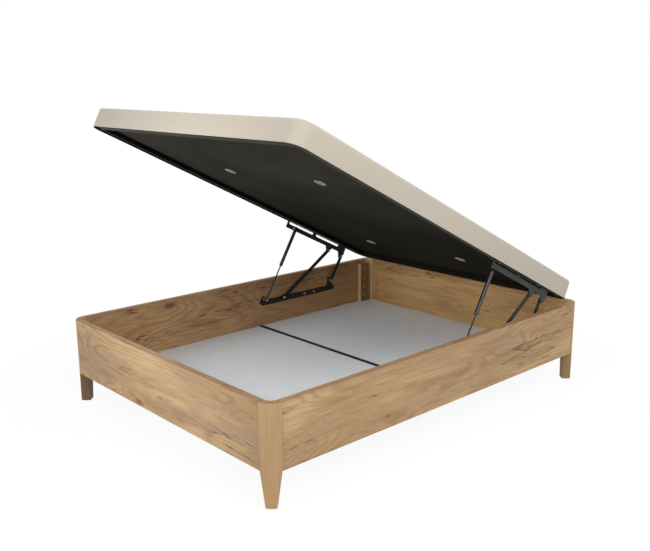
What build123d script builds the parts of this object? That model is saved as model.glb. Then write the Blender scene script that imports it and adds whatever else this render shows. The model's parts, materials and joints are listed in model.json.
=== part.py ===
from build123d import *
import math
import os

# Lift-up storage bed base. Millimetres, +Z up, +Y towards the head, +X towards the right long side.
# The origin is the middle of the footprint, on the floor. The lid is modelled open, as at rest.

# Base box
base_length = 1930.0
base_width = 1430.0
board_thickness = 30.0
board_height = 252.0
leg_height = 140.0
post_radius = 60.0
leg_depth = 45.0
leg_top_width = 78.0
leg_foot_width = 41.0
glide_height = 4.0
glide_radius = 14.0
edge_round = 1.5
dowel_radius = 4.0
dowel_depth = 18.0
dowel_margin = 55.0
glide_chamfer = 1.0

# Corner battens at the head end
batten_width = 60.0
batten_thickness = 22.0
batten_drop = 20.0
batten_screws = 4

# Screws: a thread that bites into the boards, and a head
screw_radius = 2.0
screw_head = 6.0
screw_bite = 17.0
flat_head_height = 2.0
pan_head_height = 2.5
pan_head_round = 1.2

# Floor
panel_thickness = 8.0
panel_edge = 15.0
seam_from_head = 865.0
strip_width = 24.0
strip_thickness = 1.5
beam_size = 30.0
beam_wall = 2.0
beam_end_setback = 115.0
foot_radius = 19.0
foot_taper = 0.75
side_screw_shares = (-0.8, -0.45, -0.1, 0.25, 0.55, 0.8)
end_screw_shares = (-0.7, 0.0, 0.7)

# Lid
lid_setback = 15.0
lid_height = 90.0
lid_corner = 55.0
lid_top_round = 13.0
skirt_thickness = 10.0
pad_thickness = 14.0
lid_board_thickness = 12.0
lid_gap = 0.5
frame_inset = 18.0
tube_width = 30.0
tube_wall = 2.0
tube_lift = 4.0
cross_tubes = 2
under_recess = 20.0
under_thickness = 4.0
vent_radius = 21.0
vent_flange = 5.0
vent_flange_height = 2.0
vent_wall = 2.0
slat_width = 2.4
vent_from_head = 377.0
vent_from_foot = 510.0
vent_side = 300.0
vent_slats = 4
open_angle = 26.3

# Lifting mechanism: pivots of the base, from the head board's outer face and down from the board tops
arm_pivot = (704.0, 119.0)
rear_pivot = (360.0, 81.0)
spring_pivot = (845.0, 104.0)
# Pivots of the lid, from its head edge and down from its underside
lid_arm_pivot = (298.0, 57.0)
lid_rear_pivot = (192.0, 57.0)
lid_spring_pivot = (600.0, 26.0)
bar_height = 30.0
bar_thickness = 3.0
bar_drop = 126.0
bar_front = 860.0
bar_rear = 325.0
bar_corner = 6.0
upper_front = 650.0
upper_rear = 168.0
upper_depth = 38.0
upper_corner = 2.5
flange_width = 26.0
flange_setback = 3.0
window_height = 15.0
window_drop = 0.5
windows = ((637.0, 445.0), (421.0, 232.0))
bolt_shares = (0.15, 0.5, 0.85)
bolt_radius = 3.0
bolt_head = 5.0
bolt_head_height = 2.0
bolt_length = 14.0
arm_width = 20.0
arm_thickness = 4.0
arm_eye_radius = 12.0
lug_radius = 14.0
lug_waist = 0.95
pin_radius = 4.0
shoulder_width = 1.0
stud_shoulder_width = 2.0
rivet_radius = 7.0
rivet_height = 1.8
layer_gap = 0.5
cylinder_radius = 9.0
cylinder_bore = 7.0
cylinder_length = 222.0
cylinder_round = 1.5
neck_radius = 6.3
neck_length = 4.0
rod_radius = 3.5
guide_length = 12.0
piston_length = 10.0
piston_clearance = 2.0
eye_radius = 9.0
eye_thickness = 12.0
bar_screws = (550.0, 480.0)

# Clearances
fit = 0.05
seat_gap = 0.3

# Worked-out places of the base
board_top = leg_height + board_height
half_x = base_width / 2
half_y = base_length / 2
inner_x = half_x - board_thickness
inner_y = half_y - board_thickness
post_x = half_x - post_radius
post_y = half_y - post_radius
panel_bottom = leg_height - panel_thickness
seam_y = half_y - seam_from_head
lid_seat = board_top + lid_gap
lid_length = base_length - 2 * lid_setback
lid_width = base_width - 2 * lid_setback
lid_head_y = lid_length / 2


def base_point(place):
    """A pivot of the base as (y, z)."""
    return (half_y - place[0], board_top - place[1])


def closed_point(place):
    """A pivot of the lid as (y, z) with the lid closed."""
    return (lid_head_y - place[0], lid_seat - place[1])


def distance(a, b):
    return math.hypot(b[0] - a[0], b[1] - a[1])


P1 = base_point(arm_pivot)
P2 = base_point(rear_pivot)
G1 = base_point(spring_pivot)
Q1_closed = closed_point(lid_arm_pivot)
Q2_closed = closed_point(lid_rear_pivot)
G2_closed = closed_point(lid_spring_pivot)
arm_length = distance(P1, Q1_closed)
rear_length = distance(P2, Q2_closed)
tilt = math.radians(open_angle)


def turned(vector):
    """A closed-lid vector (y, z) as it stands with the lid open."""
    return (vector[0] * math.cos(tilt) + vector[1] * math.sin(tilt),
            -vector[0] * math.sin(tilt) + vector[1] * math.cos(tilt))


def open_arm_point():
    """Where the long arm's upper pivot lies when both arms meet the lid at its open angle."""
    link = turned((Q2_closed[0] - Q1_closed[0], Q2_closed[1] - Q1_closed[1]))
    centre = (P2[0] - link[0], P2[1] - link[1])
    span = distance(P1, centre)
    along = (arm_length ** 2 - rear_length ** 2 + span ** 2) / (2 * span)
    rise = math.sqrt(arm_length ** 2 - along ** 2)
    direction = ((centre[0] - P1[0]) / span, (centre[1] - P1[1]) / span)
    return (P1[0] + direction[0] * along - direction[1] * rise,
            P1[1] + direction[1] * along + direction[0] * rise)


Q1 = open_arm_point()


def opened_point(closed):
    """A closed-lid point (y, z) as it stands with the lid open."""
    vector = turned((closed[0] - Q1_closed[0], closed[1] - Q1_closed[1]))
    return (Q1[0] + vector[0], Q1[1] + vector[1])


Q2 = opened_point(Q2_closed)
G2 = opened_point(G2_closed)
spring_open = distance(G1, G2)
spring_closed = distance(G1, G2_closed)
lid_open = (Location((0, Q1[0], Q1[1])) * Location((0, 0, 0), (-open_angle, 0, 0))
            * Location((0, -Q1_closed[0], -Q1_closed[1])))

# Layers of the mechanism, inboard from the side board's inner face
lower_layer = (0.0, bar_thickness)
upper_layer = (lower_layer[1] + layer_gap, lower_layer[1] + layer_gap + bar_thickness)
arm_layer = (upper_layer[1] + layer_gap, upper_layer[1] + layer_gap + arm_thickness)
rear_layer = (arm_layer[1] + rivet_height + 2 * layer_gap,
              arm_layer[1] + rivet_height + 2 * layer_gap + arm_thickness)
spring_layer = rear_layer[1] + rivet_height + 2 * layer_gap + cylinder_radius
eye_layer = (spring_layer - eye_thickness / 2, spring_layer + eye_thickness / 2)

parts = {}


def box(x_range, y_range, z_range):
    """A block between two corners."""
    size = [high - low for low, high in (x_range, y_range, z_range)]
    middle = [(high + low) / 2 for low, high in (x_range, y_range, z_range)]
    return Pos(*middle) * Box(*size)


def plate(profile, layer):
    """A (y, z) profile as a plate of the right side, between two layers."""
    return extrude(Plane.YZ.offset(inner_x - layer[1]) * profile, amount=layer[1] - layer[0])


def disc(point, radius, layer):
    """A round of the right side about a pivot, between two layers."""
    return plate(Pos(*point) * Circle(radius), layer)


def link_profile(a, b, width):
    """A flat bar with round ends between two pivots."""
    middle = ((a[0] + b[0]) / 2, (a[1] + b[1]) / 2)
    angle = math.degrees(math.atan2(b[1] - a[1], b[0] - a[0]))
    return Pos(*middle) * Rot(0, 0, angle) * SlotCenterToCenter(distance(a, b), width)


def lug_profile(point, edge, radius):
    """A round lug about a pivot, with a neck that widens to the bar's edge."""
    corners = [(point[0] - 2 * radius, edge), (point[0] + 2 * radius, edge),
               (point[0] + lug_waist * radius, point[1]), (point[0] - lug_waist * radius, point[1])]
    if edge > point[1]:
        corners.reverse()
    return Pos(*point) * Circle(radius) + Polygon(*corners, align=None)


def both_sides(name, shape):
    """Keep a right-hand piece, and its mirror image on the left."""
    parts[name + "_right"] = shape
    parts[name + "_left"] = mirror(shape, about=Plane.YZ)


def group(shapes):
    """Separate solids that share one node."""
    solids = []
    for shape in shapes:
        solids.extend(shape.solids())
    return Compound(children=solids)


def mirrored_group(shapes):
    """Right-hand pieces and their mirror images as one group."""
    return group(list(shapes) + [mirror(shape, about=Plane.YZ) for shape in shapes])


def joint_dowel_places():
    """Middle and direction of each dowel between a board's end and its post."""
    offset = half_x - board_thickness / 2
    offset_y = half_y - board_thickness / 2
    for height in (leg_height + dowel_margin, board_top - dowel_margin):
        for side in (1, -1):
            for end in (1, -1):
                yield (side * offset, end * post_y, height), Vector(0, 1, 0)
                yield (side * post_x, end * offset_y, height), Vector(1, 0, 0)


def dowel(centre, direction, radius, depth):
    """A round bar of twice the depth, centred on a seam."""
    start = Vector(*centre) - direction * depth
    return extrude(Plane(origin=start, z_dir=direction) * Circle(radius), amount=2 * depth)


def countersunk(place, length, radius, head, extra=0.0):
    """A countersunk screw that points up, its head flush at place."""
    shank = Pos(place[0], place[1], place[2] + length / 2) * Cylinder(radius + extra, length)
    cone = Pos(place[0], place[1], place[2] + head / 2) * Cone(radius + head + extra, radius + extra, head)
    return shank + cone


def floor_screw_places():
    """Screws up through the floor panels' edges into the boards."""
    edge_x = inner_x + panel_edge / 2
    edge_y = inner_y + panel_edge / 2
    for row in side_screw_shares:
        for side in (1, -1):
            yield (side * edge_x, row * inner_y, panel_bottom)
    for column in end_screw_shares:
        for end in (1, -1):
            yield (column * inner_x, end * edge_y, panel_bottom)


def batten_screw_places():
    """Screws through each corner batten into the side board, as (y, z)."""
    top = board_top - batten_drop
    step = (top - leg_height) / (batten_screws + 0.5)
    for index in range(batten_screws):
        yield (post_y - batten_width / 2, top - step * (index + 0.75))


def bar_screw_places():
    """Screws that hold a lower bar to its side board, as (y, z)."""
    for from_head in bar_screws:
        yield (half_y - from_head, board_top - bar_drop)


def make_boards():
    """Four boards between the posts, with their dowel and screw holes."""
    z_range = (leg_height, board_top)
    holes = [dowel(centre, direction, dowel_radius + fit, dowel_depth + seat_gap)
             for centre, direction in joint_dowel_places()]
    pilots = [countersunk(place, panel_thickness + screw_bite + seat_gap, screw_radius, screw_radius, fit)
              for place in floor_screw_places()]
    side_holes = [disc(point, screw_radius + fit, (-screw_bite - seat_gap, seat_gap))
                  for point in list(batten_screw_places()) + list(bar_screw_places())]
    for name, side in (("side_board_right", 1), ("side_board_left", -1)):
        x_range = sorted((side * inner_x, side * half_x))
        board = box(x_range, (-post_y, post_y), z_range)
        board = fillet(board.edges().filter_by(Axis.Y).group_by(Axis.Z)[-1], edge_round)
        board -= [mirror(hole, about=Plane.YZ) if side < 0 else hole for hole in side_holes]
        parts[name] = board - holes - pilots
    for name, end in (("head_board", 1), ("foot_board", -1)):
        y_range = sorted((end * inner_y, end * half_y))
        board = box((-post_x, post_x), y_range, z_range)
        board = fillet(board.edges().filter_by(Axis.X).group_by(Axis.Z)[-1], edge_round)
        parts[name] = board - holes - pilots
    parts["corner_dowels"] = group([dowel(centre, direction, dowel_radius, dowel_depth)
                                    for centre, direction in joint_dowel_places()])


def make_post():
    """The right head corner: a rounded shell that goes on down as a tapered leg."""
    corner = Pos(post_x, post_y, 0)
    quarter = Circle(post_radius) - Circle(post_radius - board_thickness)
    quarter &= Pos(post_radius / 2, post_radius / 2) * Rectangle(post_radius, post_radius)
    shell = extrude(Pos(0, 0, leg_height) * quarter, amount=board_height)
    shell = fillet(shell.edges().filter_by(GeomType.CIRCLE).group_by(Axis.Z)[-1], edge_round)
    inner_face = post_radius - leg_depth
    blank_height = leg_height - glide_height
    blank = Pos(0, 0, glide_height) * extrude(Circle(post_radius), amount=blank_height)
    half_top = leg_top_width / 2
    half_foot = leg_foot_width / 2
    taper = Polygon((-half_foot, glide_height), (half_foot, glide_height),
                    (half_top, leg_height), (-half_top, leg_height), align=None)
    wedge = extrude(Plane(origin=(inner_face, 0, 0), x_dir=(0, 1, 0), z_dir=(1, 0, 0)) * taper,
                    amount=post_radius)
    leg = blank & wedge
    return corner * (shell + Rot(0, 0, 45) * leg)


def make_posts():
    """The four corner posts and the glides under their legs."""
    holes = [dowel(centre, direction, dowel_radius + fit, dowel_depth + seat_gap)
             for centre, direction in joint_dowel_places()]
    head_right = make_post()
    glide_place = (post_radius - leg_depth / 2) / math.sqrt(2)
    glide = Pos(post_x + glide_place, post_y + glide_place, glide_height / 2) * Cylinder(
        glide_radius, glide_height)
    glide = chamfer(glide.edges().group_by(Axis.Z)[0], glide_chamfer)
    for stem, shape, cuts in (("corner_post", head_right, holes), ("leg_glide", glide, [])):
        head_left = mirror(shape, about=Plane.YZ)
        corners = {"head_right": shape, "head_left": head_left,
                   "foot_right": mirror(shape, about=Plane.XZ),
                   "foot_left": mirror(head_left, about=Plane.XZ)}
        for corner, piece in corners.items():
            parts[f"{stem}_{corner}"] = piece - cuts if cuts else piece


def make_battens():
    """Upright battens in the head corners, screwed to the side boards."""
    top = board_top - batten_drop
    batten = box((inner_x - batten_thickness, inner_x), (post_y - batten_width, post_y),
                 (leg_height + seat_gap, top))
    screws = []
    for point in batten_screw_places():
        batten -= disc(point, screw_radius + fit, (-seat_gap, batten_thickness + seat_gap))
        shank = disc(point, screw_radius, (-screw_bite, batten_thickness))
        head = disc(point, screw_head, (batten_thickness, batten_thickness + flat_head_height))
        screws.append(shank + head)
    both_sides("corner_batten", batten)
    parts["batten_screws"] = mirrored_group(screws)


def make_floor():
    """Two thin panels, the strip that joins them, and the beam and foot below the seam."""
    edge_x = inner_x + panel_edge
    edge_y = inner_y + panel_edge
    leg_line = post_x + post_y + math.sqrt(2) * (post_radius - leg_depth) - 2 * seat_gap
    corner_cut = edge_x + edge_y - leg_line
    web = strip_thickness
    z_range = (panel_bottom, leg_height)
    screws = list(floor_screw_places())
    holes = [countersunk(place, panel_thickness + screw_bite + seat_gap, screw_radius, screw_radius, fit)
             for place in screws]
    spans = {"floor_panel_head": (seam_y + web / 2 + seat_gap, edge_y),
             "floor_panel_foot": (-edge_y, seam_y - web / 2 - seat_gap)}
    for name, y_range in spans.items():
        panel = box((-edge_x, edge_x), y_range, z_range)
        outer = -1 if name == "floor_panel_head" else 0
        corners = panel.edges().filter_by(Axis.Z).group_by(Axis.Y)[outer]
        parts[name] = chamfer(corners, corner_cut) - holes
    parts["floor_screws"] = group([countersunk(place, panel_thickness + screw_bite, screw_radius,
                                               screw_radius) for place in screws])
    flange = (seam_y - strip_width / 2, seam_y + strip_width / 2)
    reach = (-inner_x + seat_gap, inner_x - seat_gap)
    strip = box(reach, flange, (leg_height, leg_height + strip_thickness))
    strip += box(reach, (seam_y - web / 2, seam_y + web / 2), z_range)
    strip += box(reach, flange, (panel_bottom - strip_thickness, panel_bottom))
    parts["floor_joint_strip"] = strip
    beam_top = panel_bottom - strip_thickness
    beam_x = half_x - beam_end_setback
    beam_bore = beam_size - 2 * beam_wall
    section = Rectangle(beam_size, beam_size) - Rectangle(beam_bore, beam_bore)
    start = Plane(origin=(-beam_x, seam_y, beam_top - beam_size / 2), z_dir=(1, 0, 0))
    parts["floor_cross_beam"] = extrude(start * section, amount=2 * beam_x)
    foot_top = beam_top - beam_size
    parts["centre_foot"] = Pos(0, seam_y, glide_height) * Cone(
        foot_radius * foot_taper, foot_radius, foot_top - glide_height,
        align=(Align.CENTER, Align.CENTER, Align.MIN))
    parts["centre_foot_glide"] = Pos(0, seam_y, glide_height / 2) * Cylinder(glide_radius, glide_height)


def make_lower_bars():
    """The bars on the side boards, with lugs for the arms and the gas spring."""
    centre_z = board_top - bar_drop
    front_y = half_y - bar_front
    rear_y = half_y - bar_rear
    profile = Pos((front_y + rear_y) / 2, centre_z) * RectangleRounded(
        rear_y - front_y, bar_height, bar_corner)
    for pivot in (P1, P2, G1):
        profile += lug_profile(pivot, centre_z, lug_radius)
    profile -= [Pos(*pivot) * Circle(pin_radius + fit) for pivot in (P1, P2, G1)]
    profile -= [Pos(*point) * Circle(screw_radius + fit) for point in bar_screw_places()]
    both_sides("hinge_lower_bar", plate(profile, lower_layer))
    screws = []
    for point in bar_screw_places():
        shank = disc(point, screw_radius, (-screw_bite, lower_layer[1]))
        head = disc(point, screw_head, (lower_layer[1], lower_layer[1] + pan_head_height))
        screws.append(shank + fillet(head.edges().group_by(Axis.X)[0], pan_head_round))
    parts["lower_bar_screws"] = mirrored_group(screws)


def rivet(point, start, stop, shoulder=None, shoulder_radius=rivet_radius, outer_head=False):
    """A pin along X with an inboard head, and a shoulder where it keeps two plates apart."""
    pin = disc(point, pin_radius, (start, stop + seat_gap / 2))
    head = disc(point, rivet_radius, (stop + fit, stop + fit + rivet_height))
    pin += fillet(head.edges().group_by(Axis.X)[0], rivet_height / 2)
    if shoulder:
        pin += disc(point, shoulder_radius, (shoulder[0] + fit, shoulder[1] - fit))
    if outer_head:
        outer = disc(point, rivet_radius, (start, start + rivet_height))
        pin += fillet(outer.edges().group_by(Axis.X)[-1], rivet_height / 2)
    return pin


def make_pins():
    """Pins of the base and of the lid."""
    inset = seat_gap
    shoulder = pin_radius + shoulder_width
    stud_shoulder = pin_radius + stud_shoulder_width
    parts["front_arm_pins"] = mirrored_group(
        [rivet(P1, inset, arm_layer[1], (lower_layer[1], arm_layer[0]))])
    parts["rear_arm_pins"] = mirrored_group(
        [rivet(P2, inset, rear_layer[1], (lower_layer[1], rear_layer[0]), shoulder)])
    parts["spring_lower_studs"] = mirrored_group(
        [rivet(G1, inset, eye_layer[1], (lower_layer[1], eye_layer[0]), stud_shoulder)])
    outer = upper_layer[0] - fit - rivet_height
    parts["lid_arm_pins"] = mirrored_group(
        [lid_open * rivet(Q1_closed, outer, arm_layer[1], outer_head=True)])
    cap = disc(Q2_closed, rivet_radius, (outer, outer + rivet_height))
    cap = fillet(cap.edges().group_by(Axis.X)[-1], rivet_height / 2)
    cap += disc(Q2_closed, pin_radius, (outer, upper_layer[1]))
    parts["rear_pivot_caps"] = mirrored_group([lid_open * cap])
    stud = disc(G2_closed, rivet_radius, (outer, outer + rivet_height))
    stud += disc(G2_closed, pin_radius, (outer, eye_layer[0] - seat_gap))
    stud += disc(G2_closed, stud_shoulder, (upper_layer[1] + fit, eye_layer[0] - seat_gap))
    parts["spring_upper_studs"] = mirrored_group([lid_open * stud])


def make_arms():
    """The long front arms and the short rear arms."""
    long_arm = link_profile(P1, Q1, arm_width)
    for pivot in (P1, Q1):
        long_arm += Pos(*pivot) * Circle(arm_eye_radius)
    long_arm -= [Pos(*pivot) * Circle(pin_radius + fit) for pivot in (P1, Q1)]
    both_sides("front_arm", plate(long_arm, arm_layer))
    rear_arm = link_profile(P2, Q2, arm_width)
    rear_arm -= [Pos(*pivot) * Circle(pin_radius + fit) for pivot in (P2, Q2)]
    both_sides("rear_arm", plate(rear_arm, rear_layer))
    top_pin = disc(Q2, pin_radius, (upper_layer[1] + seat_gap, rear_layer[1] + seat_gap / 2))
    top_pin += disc(Q2, pin_radius + shoulder_width, (upper_layer[1] + seat_gap, rear_layer[0] - fit))
    head = disc(Q2, rivet_radius, (rear_layer[1] + fit, rear_layer[1] + fit + rivet_height))
    top_pin += fillet(head.edges().group_by(Axis.X)[0], rivet_height / 2)
    parts["rear_arm_top_pins"] = mirrored_group([top_pin])


def spring_plane(along):
    """A plane square to the open gas spring, a distance up from its lower pivot."""
    direction = Vector(0, G2[0] - G1[0], G2[1] - G1[1]).normalized()
    origin = Vector(inner_x - spring_layer, G1[0], G1[1]) + direction * along
    return Plane(origin=origin, x_dir=(1, 0, 0), z_dir=direction)


def round_bar(radius, start, stop):
    """A round bar on the gas spring's axis."""
    return extrude(spring_plane(start) * Circle(radius), amount=stop - start)


def make_gas_springs():
    """Gas springs: a cylinder from the lid down, and a rod from the lower bar up into it."""
    mouth = spring_open - cylinder_length
    end_cap = spring_open - eye_radius - neck_length
    overlap = 2 * cylinder_round
    cylinder = round_bar(cylinder_radius, mouth, end_cap)
    cylinder = fillet(cylinder.edges().filter_by(GeomType.CIRCLE), cylinder_round)
    cylinder += round_bar(neck_radius, end_cap - overlap, spring_open - eye_radius + overlap)
    cylinder += disc(G2, eye_radius, eye_layer)
    cylinder += disc(G2, pin_radius + shoulder_width, (eye_layer[1] - overlap, eye_layer[1] + rivet_height))
    cylinder -= round_bar(cylinder_bore, mouth + guide_length, end_cap - overlap)
    cylinder -= round_bar(rod_radius + fit, mouth - overlap, mouth + guide_length + overlap)
    both_sides("gas_cylinder", cylinder)
    piston_start = mouth + guide_length + piston_clearance
    rod = round_bar(rod_radius, eye_radius - overlap, piston_start + overlap)
    rod += round_bar(cylinder_bore - fit, piston_start, piston_start + piston_length)
    rod += disc(G1, eye_radius, eye_layer)
    rod -= disc(G1, pin_radius + fit, (eye_layer[0] - seat_gap, eye_layer[1] + seat_gap))
    both_sides("gas_rod", rod)


def make_upper_bars():
    """Angle bars under the lid's long tubes, with lugs for both arms and the gas spring."""
    flange_top = lid_seat + tube_lift
    web_bottom = lid_seat - upper_depth
    front = lid_head_y - upper_front
    rear = lid_head_y - upper_rear
    flange_bottom = flange_top - bar_thickness
    profile = Pos((front + rear) / 2, (flange_top + web_bottom) / 2) * RectangleRounded(
        rear - front, flange_top - web_bottom, upper_corner)
    window_z = flange_bottom - window_drop - window_height / 2
    for window_front, window_rear in windows:
        start, stop = lid_head_y - window_front, lid_head_y - window_rear
        profile -= Pos((start + stop) / 2, window_z) * SlotOverall(stop - start, window_height)
    for pivot in (Q1_closed, Q2_closed):
        profile += lug_profile(pivot, web_bottom + bar_thickness, lug_radius)
    profile -= [Pos(*pivot) * Circle(pin_radius + fit) for pivot in (Q1_closed, Q2_closed, G2_closed)]
    bar = plate(profile, upper_layer)
    outer_x = inner_x - upper_layer[0]
    bar += box((outer_x - flange_width, outer_x), (front + flange_setback, rear - flange_setback),
               (flange_bottom, flange_top))
    bolts = []
    bolt_x = outer_x - flange_width / 2 - bar_thickness / 2
    for share in bolt_shares:
        place = (bolt_x, front + (rear - front) * share)
        bar -= Pos(*place, flange_bottom) * Cylinder(bolt_radius + fit, 3 * bar_thickness)
        head_low = flange_bottom - bolt_head_height
        head = Pos(*place, head_low) * extrude(RegularPolygon(bolt_head, 6), amount=bolt_head_height)
        bolts.append(head + Pos(*place, head_low) * Cylinder(
            bolt_radius, bolt_length, align=(Align.CENTER, Align.CENTER, Align.MIN)))
    both_sides("hinge_upper_bar", lid_open * bar)
    parts["upper_bar_bolts"] = mirrored_group([lid_open * bolt for bolt in bolts])
    return bolts


def lid_outline(inset):
    """The lid's rounded outline, set in from the cover's outer face."""
    return RectangleRounded(lid_width - 2 * inset, lid_length - 2 * inset, lid_corner - inset)


def cross_tube(height, start, length):
    """A hollow tube along X, between the lid's long sides."""
    section = Rectangle(tube_width, height) - Rectangle(tube_width - 2 * tube_wall, height - 2 * tube_wall)
    return extrude(Plane(origin=start, x_dir=(0, 1, 0), z_dir=(1, 0, 0)) * section, amount=length)


def make_lid_frame(low, high, bolts):
    """The lid's tube frame: long sides that bend round the corners, and straight ends between them."""
    ring = lid_outline(frame_inset) - lid_outline(frame_inset + tube_width)
    bore = lid_outline(frame_inset + tube_wall) - lid_outline(frame_inset + tube_width - tube_wall)
    frame = extrude(Pos(0, 0, low) * ring, amount=high - low)
    frame -= extrude(Pos(0, 0, low + tube_wall) * bore, amount=high - low - 2 * tube_wall)
    bend_x = lid_width / 2 - lid_corner
    whole_y = (-lid_length / 2, lid_length / 2)
    side = frame & box((bend_x, lid_width / 2), whole_y, (low, high))
    both_sides("lid_tube", lid_open * (side - enlarged(bolts)))
    for name, y_range in (("head", (0, lid_length / 2)), ("foot", (-lid_length / 2, 0))):
        parts["lid_tube_" + name] = lid_open * (frame & box((-bend_x, bend_x), y_range, (low, high)))


def make_lid(bolts):
    """The lid's cover, board, tube frame, dark underside and vents."""
    top = lid_seat + lid_height
    board_low = top - pad_thickness - lid_board_thickness
    cover = extrude(Pos(0, 0, lid_seat) * lid_outline(0), amount=lid_height)
    cover = fillet(cover.faces().sort_by(Axis.Z)[-1].edges(), lid_top_round)
    cover -= extrude(Pos(0, 0, lid_seat) * lid_outline(skirt_thickness), amount=lid_height - pad_thickness)
    parts["lid_cover"] = lid_open * cover
    board = extrude(Pos(0, 0, board_low) * lid_outline(skirt_thickness + seat_gap),
                    amount=lid_board_thickness - seat_gap)
    parts["lid_board"] = lid_open * board
    tube_low = lid_seat + tube_lift
    make_lid_frame(tube_low, board_low, bolts)
    under_low = tube_low + under_recess
    cross_height = board_low - under_low - under_thickness
    frame_depth = frame_inset + tube_width
    reach = lid_width / 2 - frame_depth
    clear_length = lid_length - 2 * frame_depth
    for index in range(cross_tubes):
        place = -clear_length / 2 + clear_length * (index + 1) / (cross_tubes + 1)
        parts[f"lid_cross_tube_{index + 1}"] = lid_open * cross_tube(
            cross_height, (-reach, place, board_low - cross_height / 2), 2 * reach)
    panel = extrude(Pos(0, 0, under_low) * lid_outline(frame_depth + seat_gap),
                    amount=under_thickness - seat_gap)
    vent_places = [(side * vent_side, y) for y in (lid_head_y - vent_from_head, vent_from_foot - lid_head_y)
                   for side in (1, -1)]
    for index, (x, y) in enumerate(vent_places):
        panel -= Pos(x, y, under_low) * Cylinder(vent_radius + fit, 4 * under_thickness)
        parts[f"air_vent_{index + 1}"] = lid_open * vent((x, y, under_low))
    parts["underside_panel"] = lid_open * panel


def enlarged(bolts):
    """Clearance holes for bolts that point up."""
    holes = []
    for bolt in bolts:
        centre = bolt.center(CenterOf.BOUNDING_BOX)
        holes.append(Pos(centre.X, centre.Y, centre.Z) * Cylinder(bolt_radius + fit, 2 * bolt_length))
    return holes


def vent(place):
    """A round push-in vent: flange, barrel and slats."""
    x, y, low = place
    flange_height = vent_flange_height
    ring = Cylinder(vent_radius + vent_flange, flange_height, align=(Align.CENTER, Align.CENTER, Align.MAX))
    barrel_height = under_thickness + flange_height
    ring += Pos(0, 0, -flange_height / 2) * Cylinder(vent_radius, barrel_height + flange_height / 2,
                                                    align=(Align.CENTER, Align.CENTER, Align.MIN))
    bore = vent_radius - vent_wall
    ring -= Cylinder(bore, 4 * barrel_height)
    slat_step = 2 * bore / (vent_slats + 1)
    for index in range(vent_slats):
        across = -bore + slat_step * (index + 1)
        length = 2 * math.sqrt(bore ** 2 - across ** 2) + vent_wall / 2
        ring += Pos(0, across, -flange_height / 2) * Box(length, slat_width, flange_height)
    return Pos(x, y, low) * ring


make_boards()
make_posts()
make_battens()
make_floor()
make_lower_bars()
make_pins()
make_arms()
make_gas_springs()
make_lid(make_upper_bars())

os.makedirs("parts", exist_ok=True)
for node, shape in parts.items():
    export_step(shape, f"parts/{node}.step")

print("nodes", len(parts))
print("arm", round(arm_length, 1), "rear arm", round(rear_length, 1), "spring", round(spring_open, 1),
      round(spring_closed, 1), "open point", Q1, Q2, G2)
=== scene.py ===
import json
import logging
import math
from collections.abc import Callable
from dataclasses import dataclass, field
from enum import Enum

import bpy
from mathutils import Matrix, Vector


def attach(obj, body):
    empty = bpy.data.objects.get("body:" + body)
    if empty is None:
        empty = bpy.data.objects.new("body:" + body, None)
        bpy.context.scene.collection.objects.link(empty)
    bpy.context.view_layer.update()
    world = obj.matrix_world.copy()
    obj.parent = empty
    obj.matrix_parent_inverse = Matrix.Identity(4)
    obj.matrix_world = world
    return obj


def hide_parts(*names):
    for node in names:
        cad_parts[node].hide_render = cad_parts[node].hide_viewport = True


# Looks of a lift-up storage bed base, in metres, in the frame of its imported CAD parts:
# +Z is up, +Y goes towards the head and +X towards the right long side. The lid rests open.

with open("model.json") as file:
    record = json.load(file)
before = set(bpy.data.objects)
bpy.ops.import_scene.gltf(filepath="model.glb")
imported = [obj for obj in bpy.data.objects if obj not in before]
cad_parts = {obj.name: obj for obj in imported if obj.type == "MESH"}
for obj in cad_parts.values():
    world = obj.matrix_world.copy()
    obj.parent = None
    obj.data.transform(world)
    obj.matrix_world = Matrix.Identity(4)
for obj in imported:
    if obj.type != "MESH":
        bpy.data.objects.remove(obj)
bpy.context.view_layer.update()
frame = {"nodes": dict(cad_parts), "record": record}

log = logging.getLogger("bed_base")

SHADER_SOCKETS = {"metal": "Metallic", "specular": "Specular IOR Level", "sheen": "Sheen Weight",
                  "sheen_rough": "Sheen Roughness"}

# Places where the wood's tone changes, and where its painted shade begins
BOARD_TOP = 0.392
LEG_TOP = 0.140
SIDE_INSIDE = 0.685
END_INSIDE = 0.935
POST_X = 0.655
POST_Y = 0.905
BATTEN_FACE = 0.845

# Width of a wave texture's bands at scale 1
BAND_WIDTH = 0.31

Triple = tuple[float, float, float]
Rgb = tuple[int, int, int]
Rgba = tuple[float, float, float, float]
Socket = bpy.types.NodeSocket

BLACK: Rgba = (0.0, 0.0, 0.0, 1.0)
WHITE: Rgba = (1.0, 1.0, 1.0, 1.0)


def srgb(red: int, green: int, blue: int) -> Rgba:
    """Turn a display colour of 0 to 255 into the linear RGBA that shaders take.

    Args:
        red: Red, 0 to 255.
        green: Green, 0 to 255.
        blue: Blue, 0 to 255.

    Returns:
        Linear red, green and blue, and an alpha of 1.
    """
    def linear(value: int) -> float:
        """Undo the display curve for one channel."""
        share = value / 255
        return share / 12.92 if share <= 0.04045 else ((share + 0.055) / 1.055) ** 2.4

    return linear(red), linear(green), linear(blue), 1.0


def darker(colour: Rgb, share: float) -> Rgba:
    """Keep a share of a display colour, as linear RGBA."""
    return srgb(*(round(share * value) for value in colour))


class Run(Enum):
    """The axis along which a board's grain runs."""

    ALONG_X = "x"
    ALONG_Y = "y"
    UPRIGHT = "z"


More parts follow.
